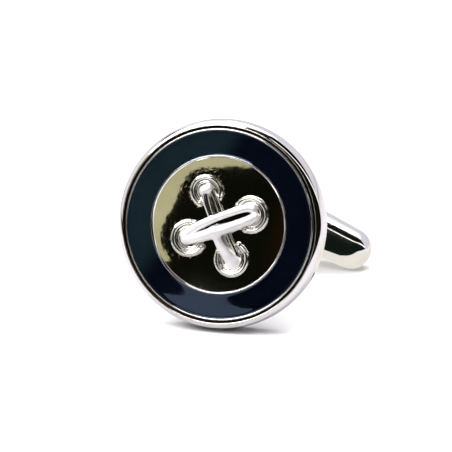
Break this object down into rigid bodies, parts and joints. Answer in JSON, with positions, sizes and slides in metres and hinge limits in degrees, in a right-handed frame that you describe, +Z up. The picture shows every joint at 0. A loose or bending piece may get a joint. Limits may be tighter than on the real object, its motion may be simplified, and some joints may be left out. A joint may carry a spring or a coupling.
{
  "type": "cufflink",
  "caption": "Round swivel-bar cufflink with a navy enamel ring round a polished dish that bears a raised cross of button stitches, standing on its rim.",
  "frame": {"origin": "on the table, under the middle of the standing cufflink's box", "axes": "+Z up from the table, the face leans back and looks towards -Y, +Y along the post, +X to the right of the face"},
  "size_m": [0.02, 0.0257, 0.0188],
  "materials": {
    "polished_metal": "polished",
    "navy_enamel": "gloss",
    "pin_metal": "polished",
    "bar_metal": "polished"
  },
  "bodies": {
    "link": {"head": "polished_metal", "enamel_ring": "navy_enamel", "hinge_pin": "pin_metal"},
    "bar": {"toggle": "bar_metal"}
  },
  "joints": [
    {"name": "bar_swivel", "type": "hinge", "parent": "link", "child": "bar", "pos_m": [0, 0.01005, 0.00495], "axis": [0.359, 0.2105, 0.9093], "range_deg": [-90, 90]}
  ]
}
